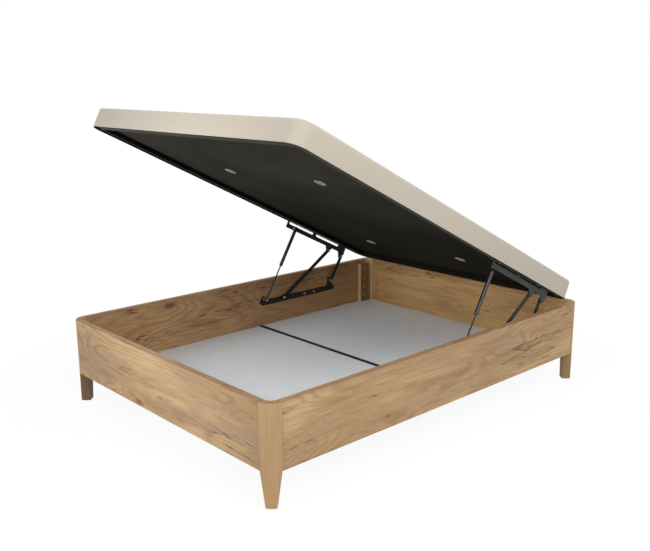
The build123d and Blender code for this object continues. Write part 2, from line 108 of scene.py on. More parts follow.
class Graph:
    """A node tree in the making, with short calls for the nodes that looks and studio share."""

    def __init__(self, tree: bpy.types.NodeTree) -> None:
        """Take the nodes and links of a tree."""
        self.nodes = tree.nodes
        self.links = tree.links

    def feed(self, value: object, socket: Socket) -> None:
        """Give a socket another node's output, or a plain value.

        Args:
            value: An output socket, a number, a vector or a colour.
            socket: The input that takes it.
        """
        if isinstance(value, bpy.types.NodeSocket):
            self.links.new(value, socket)
        else:
            socket.default_value = value

    def add(self, kind: str, output: str, inputs: dict[str | int, object] | None = None,
            **options: str) -> Socket:
        """Add a node, set its options and feed its inputs.

        Args:
            kind: The node's type.
            output: Name of the output that is wanted.
            inputs: Values or sockets, by the name or number of the input.
            **options: The node's own settings.

        Returns:
            The output.
        """
        node = self.nodes.new(kind)
        for name, option in options.items():
            setattr(node, name, option)
        for name, value in (inputs or {}).items():
            self.feed(value, node.inputs[name])
        return node.outputs[output]

    def maths(self, operation: str, first: object, second: object = 0.0) -> Socket:
        """Join two numbers or sockets by a Math node's operation."""
        return self.add("ShaderNodeMath", "Value", {0: first, 1: second}, operation=operation)

    def level(self, value: Socket, low: float, high: float, first: float = 0.0,
              last: float = 1.0) -> Socket:
        """Map a value smoothly from one range to another, held at both ends.

        Args:
            value: The value.
            low: Where the result is first.
            high: Where the result is last.
            first: Result at and below low.
            last: Result at and above high.

        Returns:
            The mapped value.
        """
        ranges = {"Value": value, "From Min": low, "From Max": high, "To Min": first, "To Max": last}
        return self.add("ShaderNodeMapRange", "Result", ranges, interpolation_type="SMOOTHSTEP")

    def overlay(self, share: Socket, under: Socket, over: Socket) -> Socket:
        """Lay one shader over another by a share."""
        return self.add("ShaderNodeMixShader", "Shader", {"Fac": share, 1: under, 2: over})


class Recipe(Graph):
    """A node material in the making."""

    def __init__(self, name: str) -> None:
        """Start a material that has a Principled shader alone.

        Args:
            name: The material's name.
        """
        self.material = bpy.data.materials.new(name)
        self.material.use_nodes = True
        super().__init__(self.material.node_tree)
        self.shader = self.nodes["Principled BSDF"]
        coordinates = self.nodes.new("ShaderNodeTexCoord")
        self.place: Socket = coordinates.outputs["Object"]
        self.chart: Socket = coordinates.outputs["UV"]

    def mapped(self, vector: Socket, scale: Triple = (1, 1, 1), turn: Triple = (0, 0, 0),
               shift: Triple = (0, 0, 0)) -> Socket:
        """Scale, turn and shift a vector.

        Args:
            vector: The vector to change.
            scale: Factor along each axis.
            turn: Euler turn in radians.
            shift: Shift after the turn.

        Returns:
            The mapped vector.
        """
        changes = {"Vector": vector, "Scale": scale, "Rotation": turn, "Location": shift}
        return self.add("ShaderNodeMapping", "Vector", changes)

    def noise(self, vector: Socket, scale: float, detail: float = 3.0, roughness: float = 0.5,
              distortion: float = 0.0) -> Socket:
        """Sample fractal noise, from about 0.25 to 0.75.

        Args:
            vector: Where to sample.
            scale: Waves per unit.
            detail: Octaves.
            roughness: Strength of each finer octave.
            distortion: Swirl.

        Returns:
            The noise value.
        """
        inputs = {"Vector": vector, "Scale": scale, "Detail": detail, "Roughness": roughness,
                  "Distortion": distortion}
        return self.add("ShaderNodeTexNoise", "Fac", inputs)

    def bands(self, vector: Socket, scale: float, axis: str, distortion: float = 0.0,
              detail: float = 2.0, phase: object = 0.0) -> Socket:
        """Sample a wave texture's bands.

        Args:
            vector: Where to sample.
            scale: Density of the bands.
            axis: X, Y or Z, square to the bands.
            distortion: How far noise bends them.
            detail: Octaves of that noise.
            phase: Phase offset, a number or a socket.

        Returns:
            The band value, 0 to 1.
        """
        inputs = {"Vector": vector, "Scale": scale, "Distortion": distortion, "Detail": detail,
                  "Detail Scale": 1.0, "Phase Offset": phase}
        return self.add("ShaderNodeTexWave", "Fac", inputs, bands_direction=axis)

    def cells(self, vector: Socket, scale: float) -> Socket:
        """Sample the distance to the nearest of many scattered points, in cells."""
        return self.add("ShaderNodeTexVoronoi", "Distance", {"Vector": vector, "Scale": scale})

    def axis(self, vector: Socket, name: str) -> Socket:
        """Take one coordinate out of a vector."""
        return self.add("ShaderNodeSeparateXYZ", name, {"Vector": vector})

    def reach(self, name: str) -> Socket:
        """Take the distance from the bed's middle along one axis."""
        return self.maths("ABSOLUTE", self.axis(self.place, name))

    def blend(self, share: object, under: object, over: object, mode: str = "MIX") -> Socket:
        """Lay one colour over another.

        Args:
            share: How much of the upper one shows.
            under: The lower colour.
            over: The upper colour.
            mode: Blend type.

        Returns:
            The mixed colour.
        """
        node = self.nodes.new("ShaderNodeMix")
        node.data_type = "RGBA"
        node.blend_type = mode
        self.feed(share, node.inputs["Factor"])
        for side, colour in (("A", under), ("B", over)):
            self.feed(colour, next(s for s in node.inputs if s.name == side and s.type == "RGBA"))
        return next(s for s in node.outputs if s.type == "RGBA")

    def bump(self, height: Socket, depth: float, strength: float = 0.5) -> None:
        """Raise the surface by a height value.

        Args:
            height: The height, 0 to 1.
            depth: Height of 1, in metres.
            strength: Share of the effect.
        """
        raised = {"Height": height, "Distance": depth, "Strength": strength}
        self.feed(self.add("ShaderNodeBump", "Normal", raised), self.shader.inputs["Normal"])

    def finish(self, colour: object, roughness: object, **constants: float) -> bpy.types.Material:
        """Set the shader's sockets.

        Args:
            colour: Base colour, plain or a socket.
            roughness: Roughness, plain or a socket.
            **constants: Other plain values, by their names in SHADER_SOCKETS.

        Returns:
            The finished material.
        """
        self.feed(colour, self.shader.inputs["Base Color"])
        self.feed(roughness, self.shader.inputs["Roughness"])
        for name, value in constants.items():
            self.feed(value, self.shader.inputs[SHADER_SOCKETS[name]])
        return self.material


@dataclass(frozen=True)
class Grain:
    """Fractal noise that is drawn out along the grain."""

    stretch: float
    scale: float
    detail: float = 3.0
    roughness: float = 0.5
    distortion: float = 0.0


@dataclass(frozen=True)
class Layer:
    """A tone over the wood, from none where its noise is low to its full strength."""

    grain: Grain
    low: float
    high: float
    strength: float
    tone: Rgb


@dataclass(frozen=True)
class Wood:
    """What both kinds of oak share: the grain's run, its patterns and the toned top edge."""

    TOP_TONE = (0.68, 0.63, 0.61, 1.0)
    TOP_START = 0.0016
    TOP_END = 0.0006

    run: Run = Run.UPRIGHT
    seed: float = 0.0

    def along(self, recipe: Recipe, stretch: float) -> Socket:
        """Squeeze the object coordinates along the grain, so that patterns stretch that way.

        Args:
            recipe: The material in the making.
            stretch: How many times longer a pattern is along the grain.

        Returns:
            The squeezed coordinates, shifted by the seed.
        """
        squeeze = {Run.ALONG_X: (1 / stretch, 1, 1), Run.ALONG_Y: (1, 1 / stretch, 1),
                   Run.UPRIGHT: (1, 1, 1 / stretch)}[self.run]
        shift = (self.seed, 1.7 * self.seed, 0.6 * self.seed)
        return recipe.mapped(recipe.place, scale=squeeze, shift=shift)

    def sample(self, recipe: Recipe, grain: Grain) -> Socket:
        """Sample a grain's noise."""
        where = self.along(recipe, grain.stretch)
        return recipe.noise(where, grain.scale, grain.detail, grain.roughness, grain.distortion)

    def layered(self, recipe: Recipe, colour: object, layers: tuple[Layer, ...]) -> object:
        """Lay tones over a colour, one after another.

        Args:
            recipe: The material in the making.
            colour: The colour below, plain or a socket.
            layers: The tones, lowest first.

        Returns:
            The layered colour.
        """
        for layer in layers:
            noise = self.sample(recipe, layer.grain)
            share = recipe.level(noise, layer.low, layer.high, 0.0, layer.strength)
            colour = recipe.blend(share, colour, srgb(*layer.tone))
        return colour

    def topped(self, recipe: Recipe, colour: object) -> Socket:
        """Darken the band along the top edge.

        Args:
            recipe: The material in the making.
            colour: The wood's colour.

        Returns:
            The colour with a darker top edge.
        """
        height = recipe.axis(recipe.place, "Z")
        above = recipe.level(height, BOARD_TOP - self.TOP_START, BOARD_TOP - self.TOP_END)
        return recipe.blend(above, colour, self.TOP_TONE, "MULTIPLY")


@dataclass(frozen=True)
class RusticOak(Wood):
    """Rustic oak decor: tan and rose-brown zones, irregular streaks, faint figure, cracks and knots."""

    TAN = (188, 156, 117)
    LIGHT = (206, 174, 131)
    ROSE = (176, 146, 120)
    DRIFT = (150, 118, 88)
    BROWN = (143, 109, 76)
    DARK = (92, 64, 45)
    SEAM = (104, 78, 54)

    ZONES = (Layer(Grain(2.6, 3.2), 0.4, 0.58, 1.0, LIGHT),
             Layer(Grain(5.0, 6.5, 4.0, 0.6, 0.2), 0.52, 0.66, 0.7, ROSE),
             Layer(Grain(6.0, 7.0, 5.0, 0.62, 0.7), 0.5, 0.64, 0.52, DRIFT),
             Layer(Grain(19.0, 48.0, 5.0, 0.7, 0.25), 0.5, 0.7, 0.42, BROWN))
    RINGS = Grain(7.0, 5.5, 2.5, 0.42, 0.25)
    RING_COUNT = 175.0
    RING_PLACES = Grain(2.4, 4.6, 2.0)
    FIBRES = Grain(36.0, 250.0, 3.0, 0.65)
    LINE_STRETCH = 14.0
    LINE_DENSITY = 30.0
    LINE_BEND = 11.0
    LINE_PLACES = Grain(3.6, 8.0)
    CRACKS = Grain(15.0, 13.0, 4.0, 0.5, 0.1)
    CRACK_VALUE = 0.55
    CRACK_PLACES = Grain(3.4, 9.0, 2.0)
    KNOT_STRETCH = 2.2
    KNOT_DENSITY = 4.0
    KNOT_SWIRL = 14.0

    # Painted shade: the tone that darkens the inside face, as if shaded by the lid and the box
    inside: Triple = (0.78, 0.7, 0.54)

    def shaded(self, recipe: Recipe, colour: Socket) -> Socket:
        """Paint shade onto the board's inside face, and darken its top edge and the seams at its ends.

        Args:
            recipe: The material in the making.
            colour: The wood's colour.

        Returns:
            The colour with these places darkened.
        """
        if self.run is Run.ALONG_X:
            across, face, lengthwise, end = "Y", END_INSIDE, "X", POST_X
        else:
            across, face, lengthwise, end = "X", SIDE_INSIDE, "Y", POST_Y
        seam = recipe.level(recipe.reach(lengthwise), end - 0.0035, end - 0.0005, 0.0, 0.55)
        colour = recipe.blend(seam, colour, srgb(*self.SEAM))
        # Painted shade: the inside face is darkened and browned as if in the shade of the lid
        inside_shade = recipe.level(recipe.reach(across), face + 0.0005, face + 0.002, 1.0, 0.0)
        colour = recipe.blend(inside_shade, colour, self.inside + (1.0,), "MULTIPLY")
        return self.topped(recipe, colour)

    def figure(self, recipe: Recipe, swirl: Socket) -> Socket:
        """Draw the contour rings of flat-sawn wood, strong in some places and faint in others.

        Args:
            recipe: The material in the making.
            swirl: How far the knots bend the rings.

        Returns:
            How brown the figure is.
        """
        contours = recipe.maths("MULTIPLY", self.sample(recipe, self.RINGS), self.RING_COUNT)
        waves = recipe.maths("SINE", recipe.maths("ADD", contours, swirl))
        places = recipe.level(self.sample(recipe, self.RING_PLACES), 0.44, 0.6, 0.08, 0.42)
        return recipe.maths("MULTIPLY", places, recipe.level(waves, -0.1, 1.0))

    def lines(self, recipe: Recipe, swirl: Socket) -> Socket:
        """Draw fine bent lines along the grain.

        Args:
            recipe: The material in the making.
            swirl: How far the knots bend the lines.

        Returns:
            How brown the lines are.
        """
        where = self.along(recipe, self.LINE_STRETCH)
        bands = recipe.bands(where, self.LINE_DENSITY, "Z", self.LINE_BEND, 5.0, swirl)
        places = recipe.level(self.sample(recipe, self.LINE_PLACES), 0.42, 0.62, 0.05, 0.3)
        return recipe.maths("MULTIPLY", recipe.level(bands, 0.6, 1.0), places)

    def cracks(self, recipe: Recipe) -> Socket:
        """Draw thin cracks where one noise crosses a value, in a few places.

        Args:
            recipe: The material in the making.

        Returns:
            How dark the cracks are.
        """
        noise = self.sample(recipe, self.CRACKS)
        line = recipe.maths("ABSOLUTE", recipe.maths("SUBTRACT", noise, self.CRACK_VALUE))
        places = recipe.level(self.sample(recipe, self.CRACK_PLACES), 0.47, 0.56, 0.0, 0.8)
        return recipe.maths("MULTIPLY", recipe.level(line, 0.001, 0.009, 1.0, 0.0), places)

    def build(self, name: str) -> bpy.types.Material:
        """Make the material.

        Args:
            name: The material's name.

        Returns:
            The material.
        """
        recipe = Recipe(name)
        brown = srgb(*self.BROWN)
        near_knot = recipe.cells(self.along(recipe, self.KNOT_STRETCH), self.KNOT_DENSITY)
        swirl = recipe.level(near_knot, 0.0, 0.42, self.KNOT_SWIRL, 0.0)
        fibres = self.sample(recipe, self.FIBRES)
        colour = self.layered(recipe, srgb(*self.TAN), self.ZONES)
        colour = recipe.blend(self.figure(recipe, swirl), colour, brown)
        colour = recipe.blend(self.lines(recipe, swirl), colour, brown)
        colour = recipe.blend(recipe.level(fibres, 0.44, 0.66, 0.0, 0.36), colour, brown)
        knots = recipe.level(near_knot, 0.02, 0.09, 0.75, 0.0)
        dark = recipe.maths("MAXIMUM", self.cracks(recipe), knots)
        colour = recipe.blend(dark, colour, srgb(*self.DARK))
        relief = recipe.maths("SUBTRACT", recipe.maths("MULTIPLY", fibres, 0.5), dark)
        recipe.bump(relief, 0.0004)
        roughness = recipe.level(fibres, 0.3, 0.7, 0.55, 0.7)
        return recipe.finish(self.shaded(recipe, colour), roughness, specular=0.3)


@dataclass(frozen=True)
class PlainOak(Wood):
    """Straight-grained solid oak, for posts, legs, battens, dowels and plywood."""

    STREAKS = Grain(16.0, 34.0)
    FIBRES = Grain(30.0, 230.0, 3.0, 0.6)
    DEEP_SHARE = 0.84
    # Painted shade on the batten's wide face
    WIDE_FACE_SHADE = (0.42, 0.38, 0.36, 1.0)

    base: Rgb = (193, 159, 116)
    # Painted shade on the leg below LEG_TOP, 1 for none
    leg_shade: float = 1.0
    lit_face: float | None = None

    def build(self, name: str) -> bpy.types.Material:
        """Make the material.

        Args:
            name: The material's name.

        Returns:
            The material.
        """
        recipe = Recipe(name)
        fibres = self.sample(recipe, self.FIBRES)
        streaks = self.sample(recipe, self.STREAKS)
        deep = darker(self.base, self.DEEP_SHARE)
        colour = recipe.blend(recipe.level(streaks, 0.42, 0.7, 0.0, 0.45), srgb(*self.base), deep)
        colour = recipe.blend(recipe.level(fibres, 0.42, 0.7, 0.0, 0.3), colour, deep)
        # Below the leg top the oak is a little browner, its own tone, and darkened by the leg's painted
        # shade
        height = recipe.axis(recipe.place, "Z")
        below = recipe.level(height, LEG_TOP - 0.004, LEG_TOP + 0.004, 1.0, 0.0)
        leg_tint_and_shade = (self.leg_shade, 0.96 * self.leg_shade, 0.92 * self.leg_shade, 1.0)
        colour = self.topped(recipe, recipe.blend(below, colour, leg_tint_and_shade, "MULTIPLY"))
        # Painted shade: behind the batten's narrow lit face, its wide face is darkened as if in shade
        if self.lit_face is not None:
            depth = recipe.axis(recipe.place, "Y")
            shaded_side = recipe.level(depth, self.lit_face + 0.0004, self.lit_face + 0.0012)
            colour = recipe.blend(shaded_side, colour, self.WIDE_FACE_SHADE, "MULTIPLY")
        recipe.bump(fibres, 0.0003)
        return recipe.finish(colour, recipe.level(fibres, 0.3, 0.7, 0.5, 0.64), specular=0.3)


@dataclass(frozen=True)
class Coating:
    """A painted, moulded or plated finish with a fine mottle and relief."""

    base: Rgb
    gloss: float = 0.5
    metal: float = 0.0
    mottle: float = 0.12
    grain: float = 260.0
    depth: float = 0.00012
    specular: float = 0.5

    def build(self, name: str) -> bpy.types.Material:
        """Make the material.

        Args:
            name: The material's name.

        Returns:
            The material.
        """
        recipe = Recipe(name)
        cloud = recipe.noise(recipe.place, 14.0)
        speckle = recipe.noise(recipe.place, self.grain, 2.0, 0.6)
        deep = darker(self.base, 1 - self.mottle)
        colour = recipe.blend(recipe.level(cloud, 0.35, 0.65), srgb(*self.base), deep)
        recipe.bump(speckle, self.depth)
        rough = 1 - self.gloss
        return recipe.finish(colour, recipe.level(speckle, 0.3, 0.7, rough - 0.06, rough + 0.08),
                             metal=self.metal, specular=self.specular)


@dataclass(frozen=True)
class PivotPin:
    """A zinc pin whose outward head is painted with its bar."""

    zinc: Rgb = (188, 190, 190)
    paint: Rgb = (58, 60, 58)
    outward: float = 0.680

    def build(self, name: str) -> bpy.types.Material:
        """Make the material.

        Args:
            name: The material's name.

        Returns:
            The material.
        """
        recipe = Recipe(name)
        speckle = recipe.noise(recipe.place, 240.0, 2.0, 0.6)
        painted = recipe.level(recipe.reach("X"), self.outward - 0.0004, self.outward + 0.0004)
        deep = darker(self.zinc, 0.8)
        colour = recipe.blend(recipe.level(speckle, 0.35, 0.65), srgb(*self.zinc), deep)
        colour = recipe.blend(painted, colour, srgb(*self.paint))
        recipe.bump(speckle, 0.0001)
        return recipe.finish(colour, recipe.level(speckle, 0.3, 0.7, 0.3, 0.42), metal=0.6)


@dataclass(frozen=True)
class MeshFabric:
    """Beige spacer mesh, with a fine staggered lozenge knit that follows the cover's own chart."""

    base: Rgb = (193, 183, 167)
    pitch: float = 0.010
    threads_per_lozenge: int = 5

    def build(self, name: str) -> bpy.types.Material:
        """Make the material.

        Args:
            name: The material's name.

        Returns:
            The material.
        """
        recipe = Recipe(name)
        turned = recipe.mapped(recipe.chart, turn=(0, 0, math.radians(45)))
        density = BAND_WIDTH / self.pitch
        lozenge = recipe.maths("MULTIPLY", recipe.bands(turned, density, "X"),
                               recipe.bands(turned, density, "Y"))
        threads = recipe.bands(recipe.chart, density * self.threads_per_lozenge, "X", 0.6)
        cloud = recipe.noise(recipe.place, 5.0)
        base, deep, shadow = srgb(*self.base), darker(self.base, 0.93), darker(self.base, 0.84)
        colour = recipe.blend(recipe.level(cloud, 0.35, 0.65, 0.0, 0.12), base, deep)
        colour = recipe.blend(recipe.level(lozenge, 0.3, 0.75, 0.0, 0.45), colour, shadow)
        colour = recipe.blend(recipe.level(threads, 0.4, 1.0, 0.0, 0.14), colour, shadow)
        height = recipe.maths("SUBTRACT", recipe.maths("MULTIPLY", threads, 0.25), lozenge)
        recipe.bump(height, 0.0005, 0.6)
        return recipe.finish(colour, 0.92, specular=0.2, sheen=0.25, sheen_rough=0.6)


@dataclass(frozen=True)
class Undercloth:
    """Dark felted cloth on the lid's underside, with painted light towards the foot and painted shade
    towards the head.
    """

    base: Rgb = (50, 48, 42)
    # Painted light: the lighter tone towards the foot, and where it starts and ends
    foot_light: Rgb = (82, 80, 73)
    foot_light_to: float = -0.75
    head_shade_from: float = 0.35

    def build(self, name: str) -> bpy.types.Material:
        """Make the material.

        Args:
            name: The material's name.

        Returns:
            The material.
        """
        recipe = Recipe(name)
        fluff = recipe.noise(recipe.place, 380.0, 4.0, 0.7)
        cloud = recipe.noise(recipe.place, 3.0, 2.0)
        headward = recipe.axis(recipe.place, "Y")
        # Painted light: lighter towards the foot, where more light reaches the underside, and darker
        # towards the head
        painted_light = recipe.level(headward, self.foot_light_to, self.head_shade_from, 1.0, 0.0)
        colour = recipe.blend(painted_light, srgb(*self.base), srgb(*self.foot_light))
        shade = recipe.maths("MULTIPLY", recipe.level(cloud, 0.35, 0.65, 0.8, 1.0),
                             recipe.level(fluff, 0.4, 0.7, 1.0, 0.8))
        colour = recipe.blend(recipe.maths("SUBTRACT", 1.0, shade), colour, BLACK)
        recipe.bump(fluff, 0.0005, 0.6)
        return recipe.finish(colour, 0.95, specular=0.02)


Finish = RusticOak | PlainOak | Coating | PivotPin | MeshFabric | Undercloth


class SubAssembly:
    """A group of the part's pieces that gets its finishes together."""

    sides = ("right", "left")

    @staticmethod
    def dress(finish: Finish, name: str, *nodes: str) -> None:
        """Make a finish's material and put it on whole CAD nodes.

        Args:
            finish: The finish.
            name: The material's name.
            *nodes: Names of the CAD nodes.
        """
        material = finish.build(name)
        for node in nodes:
            mesh = frame["nodes"][node].data
            mesh.materials.clear()
            mesh.materials.append(material)
            log.info("%s wears %s", node, name)

    def both(self, stem: str) -> tuple[str, ...]:
        """Name a piece's nodes on both sides."""
        return tuple(f"{stem}_{side}" for side in self.sides)


@dataclass
class StorageBox(SubAssembly):
    """The box: four boards, four corner posts with their legs, and the head battens."""

    side_seeds: tuple[float, ...] = (3.1, 5.8)
    # Painted shade for the side boards' inside faces
    side_inside_shade: Triple = (0.86, 0.76, 0.68)
    ends: tuple[str, ...] = ("foot", "head")
    end_seeds: tuple[float, ...] = (8.3, 10.2)
    corners: tuple[str, ...] = ("head_right", "head_left", "foot_right", "foot_left")
    post_seeds: tuple[float, ...] = (0.0, 1.3, 2.6, 3.9)
    # Painted shade on each leg, by how little light reaches it under the box
    leg_shades: tuple[float, ...] = (0.72, 0.72, 1.0, 0.42)

    def build(self) -> None:
        """Dress the boards, posts, battens, glides and dowels."""
        for side, seed in zip(self.sides, self.side_seeds):
            oak = RusticOak(Run.ALONG_Y, seed, self.side_inside_shade)
            self.dress(oak, f"oak_side_{side}", f"side_board_{side}")
        for end, seed in zip(self.ends, self.end_seeds):
            self.dress(RusticOak(Run.ALONG_X, seed), f"oak_{end}", f"{end}_board")
        for corner, seed, shade in zip(self.corners, self.post_seeds, self.leg_shades):
            self.dress(PlainOak(seed=seed, leg_shade=shade), f"oak_post_{corner}", f"corner_post_{corner}")
        self.dress(PlainOak(seed=6.1, lit_face=BATTEN_FACE), "oak_batten", *self.both("corner_batten"),
                   "corner_dowels")
        self.dress(Coating((44, 41, 38), gloss=0.4), "glide_plastic",
                   *(f"leg_glide_{corner}" for corner in self.corners))
        self.dress(Coating((205, 205, 200), gloss=0.7, metal=0.9), "screw_zinc", "batten_screws",
                   "floor_screws")


@dataclass
class FloorPanels(SubAssembly):
    """The grey floor panels with their joint strip, cross beam and centre foot."""

    panel: Coating = Coating((214, 217, 219), gloss=0.45, mottle=0.015, grain=90.0, depth=0.00002)

    def build(self) -> None:
        """Dress the floor."""
        self.dress(self.panel, "floor_melamine", "floor_panel_head", "floor_panel_foot")
        self.dress(Coating((7, 7, 7), gloss=0.2), "strip_black", "floor_joint_strip")
        self.dress(Coating((92, 92, 90)), "beam_grey", "floor_cross_beam")
        self.dress(PlainOak(seed=9.4), "oak_centre_foot", "centre_foot")
        self.dress(Coating((44, 41, 38), gloss=0.4), "centre_glide", "centre_foot_glide")


@dataclass
class LiftMechanism(SubAssembly):
    """Bars, arms, pins and gas springs on both sides."""

    steel: Coating = Coating((30, 32, 31), gloss=0.4, mottle=0.2, specular=0.35)
    upper_steel: Coating = Coating((52, 57, 54), gloss=0.4, mottle=0.15, specular=0.35)
    zinc: Coating = Coating((196, 197, 195), gloss=0.6, metal=0.5)
    cylinder: Coating = Coating((30, 31, 32), gloss=0.76, mottle=0.1)
    # Painted reflection: the polished rod is given the brown of the wood it reflects
    rod: Coating = Coating((46, 40, 34), gloss=0.4, specular=0.3)

    def build(self) -> None:
        """Dress the mechanism."""
        self.dress(self.steel, "hinge_steel", *self.both("hinge_lower_bar"), *self.both("front_arm"),
                   *self.both("rear_arm"))
        self.dress(self.upper_steel, "upper_bar_steel", *self.both("hinge_upper_bar"))
        self.dress(self.zinc, "rivet_zinc", "front_arm_pins", "rear_arm_pins", "lower_bar_screws")
        self.dress(PivotPin(), "pivot_pin", "spring_lower_studs", "lid_arm_pins", "rear_pivot_caps",
                   "spring_upper_studs", "rear_arm_top_pins", "upper_bar_bolts")
        self.dress(self.cylinder, "cylinder_black", *self.both("gas_cylinder"))
        self.dress(self.rod, "rod_steel", *self.both("gas_rod"))


@dataclass
class LidFrame:
    """Where the open lid lies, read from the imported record's mattress face."""

    centre: Vector = field(init=False)
    normal: Vector = field(init=False)

    def __post_init__(self) -> None:
        """Read the face's middle and direction."""
        mount = next(m for m in frame["record"]["mounts"] if m["name"] == "mattress_face")
        self.centre = Vector(mount["pos_m"])
        self.normal = Vector(mount["axis"]).normalized()

    def matrix(self) -> Matrix:
        """Make the lid's own axes, from its top's middle.

        Returns:
            The matrix whose axes go right, towards the head, and up from the lid.
        """
        right = Vector((1, 0, 0))
        headward = self.normal.cross(right)
        turn = Matrix((right, headward, self.normal)).transposed()
        return Matrix.Translation(self.centre) @ turn.to_4x4()


@dataclass
class MattressLid(SubAssembly):
    """The upholstered lid: fabric cover, board, tube frame, dark underside and vents."""

    FLAT = 0.9
    TOUCH = 1e-5
    TOP_BAND = 0.001
    INWARD = 0.01

    width: float = 1.400
    length: float = 1.900
    height: float = 0.090
    corner: float = 0.055
    corner_segments: int = 10
    top_round: float = 0.013
    round_segments: int = 6
    skirt: float = 0.010
    pad: float = 0.014
    crown: float = 0.005
    crown_steps: int = 4
    crown_reach: float = 0.9
    crown_narrowing: float = 0.2
    softness: float = 0.0008
    pillow_size: float = 0.22
    lanes: int = 14
    rows: int = 19
    smooth_angle: float = 40.0
    vents: int = 4

    def select(self, cover: bpy.types.Object, kind: str, test: Callable[..., bool]) -> None:
        """Select edges or faces of the cover by their place, in edit mode.

        Args:
            cover: The cover.
            kind: EDGE or FACE.
            test: Takes a face or an edge's two points and says whether it is wanted.
        """
        bpy.ops.mesh.select_mode(type=kind)
        bpy.ops.mesh.select_all(action="DESELECT")
        bpy.ops.object.mode_set(mode="OBJECT")
        mesh = cover.data
        if kind == "EDGE":
            for edge in mesh.edges:
                ends = [mesh.vertices[index].co for index in edge.vertices]
                edge.select = test(*ends)
        else:
            for polygon in mesh.polygons:
                polygon.select = test(polygon)
        bpy.ops.object.mode_set(mode="EDIT")

    def cut_lanes(self, span: float, count: int, normal: Triple) -> None:
        """Bisect the whole cover at even steps.

        Args:
            span: Distance between the first and last side of the cover.
            count: Number of lanes.
            normal: Direction of the steps.
        """
        for step in range(1, count):
            offset = -span / 2 + span * step / count
            bpy.ops.mesh.select_all(action="SELECT")
            bpy.ops.mesh.bisect(plane_co=Vector(normal) * offset, plane_no=normal)

    def model_cover(self) -> bpy.types.Object:
        """Model the cover lying flat, with rounded edges and a skirt that is open below.

        Returns:
            The cover, not yet in its place.
        """
        bpy.ops.object.select_all(action="DESELECT")
        bpy.ops.mesh.primitive_cube_add(size=1.0, location=(0, 0, -self.height / 2),
                                        scale=(self.width, self.length, self.height))
        cover = bpy.context.object
        cover.name = "fabric_cover"
        bpy.ops.object.transform_apply(location=True, rotation=True, scale=True)
        bpy.ops.object.mode_set(mode="EDIT")
        self.select(cover, "EDGE", lambda a, b: abs(a.z - b.z) > self.height / 2)
        bpy.ops.mesh.bevel(offset=self.corner, segments=self.corner_segments, affect="EDGES")
        self.select(cover, "EDGE", lambda a, b: min(a.z, b.z) > -self.TOUCH)
        bpy.ops.mesh.bevel(offset=self.top_round, segments=self.round_segments, affect="EDGES")
        self.select(cover, "FACE", lambda face: face.normal.z < -self.FLAT)
        bpy.ops.mesh.inset(thickness=self.skirt)
        bpy.ops.transform.translate(value=(0, 0, self.height - self.pad))
        self.cut_lanes(self.width, self.lanes, (1, 0, 0))
        self.cut_lanes(self.length, self.rows, (0, 1, 0))
        bpy.ops.mesh.select_all(action="SELECT")
        bpy.ops.mesh.quads_convert_to_tris()
        bpy.ops.uv.cube_project(cube_size=1.0, correct_aspect=False)
        bpy.ops.object.mode_set(mode="OBJECT")
        return cover

    def crown_cover(self, cover: bpy.types.Object) -> None:
        """Raise the top's middle and soften it, as foam under a stretched fabric does.

        Args:
            cover: The cover, lying flat.
        """
        bpy.ops.object.mode_set(mode="EDIT")
        for step in range(self.crown_steps):
            reach = self.crown_reach - self.crown_narrowing * step
            self.select(cover, "FACE", lambda face: face.normal.z > self.FLAT
                        and face.center.z > -self.TOP_BAND
                        and abs(face.center.x) < reach * self.width / 2
                        and abs(face.center.y) < reach * self.length / 2)
            bpy.ops.transform.translate(value=(0, 0, self.crown / self.crown_steps))
        bpy.ops.object.mode_set(mode="OBJECT")
        pillow = bpy.data.textures.new("pillow", "CLOUDS")
        pillow.noise_scale = self.pillow_size
        modifier = cover.modifiers.new("softness", "DISPLACE")
        modifier.texture = pillow
        modifier.strength = self.softness
        modifier.mid_level = 0.5
        bpy.context.view_layer.objects.active = cover
        bpy.ops.object.modifier_apply(modifier=modifier.name)

    def hem_cover(self, cover: bpy.types.Object) -> None:
        """Give the rim below and the skirt's inner side the dark hem.

        Args:
            cover: The cover, lying flat.
        """
        cover.data.materials.append(MeshFabric().build("mesh_fabric"))
        cover.data.materials.append(Coating((20, 19, 18), gloss=0.1, specular=0.1).build("hem_tape"))
        for polygon in cover.data.polygons:
            middle, normal = polygon.center, polygon.normal
            inward = normal.x * middle.x + normal.y * middle.y < -self.INWARD
            polygon.material_index = int(inward or normal.z < -self.FLAT)

    def place_cover(self, cover: bpy.types.Object) -> None:
        """Turn the cover to the open lid and keep its place in its mesh.

        Args:
            cover: The cover, lying flat.
        """
        cover.matrix_world = LidFrame().matrix()
        bpy.context.view_layer.objects.active = cover
        bpy.ops.object.transform_apply(location=True, rotation=True, scale=True)
        bpy.ops.object.shade_smooth_by_angle(angle=math.radians(self.smooth_angle))

    def build(self) -> None:
        """Make the cover and dress the lid's own nodes."""
        cover = self.model_cover()
        self.crown_cover(cover)
        self.hem_cover(cover)
        self.place_cover(cover)
        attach(cover, "lid")
        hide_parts("lid_cover")
        log.info("fabric_cover rides on lid")
        # Painted light: the near foot and right tubes wear a lit grey copy of the frame paint, the far
        # head and left tubes and the cross tubes a shaded black copy
        self.dress(Coating((74, 76, 70), gloss=0.3, specular=0.2), "frame_grey", "lid_tube_foot",
                   "lid_tube_right")
        self.dress(Coating((16, 15, 14), gloss=0.2, specular=0.1), "frame_black", "lid_tube_head",
                   "lid_tube_left", "lid_cross_tube_1", "lid_cross_tube_2")
        self.dress(PlainOak(Run.ALONG_Y, base=(205, 184, 150)), "lid_plywood", "lid_board")
        self.dress(Undercloth(), "undercloth", "underside_panel")
        self.dress(Coating((176, 176, 172), gloss=0.45, mottle=0.05), "vent_plastic",
                   *(f"air_vent_{number}" for number in range(1, self.vents + 1)))


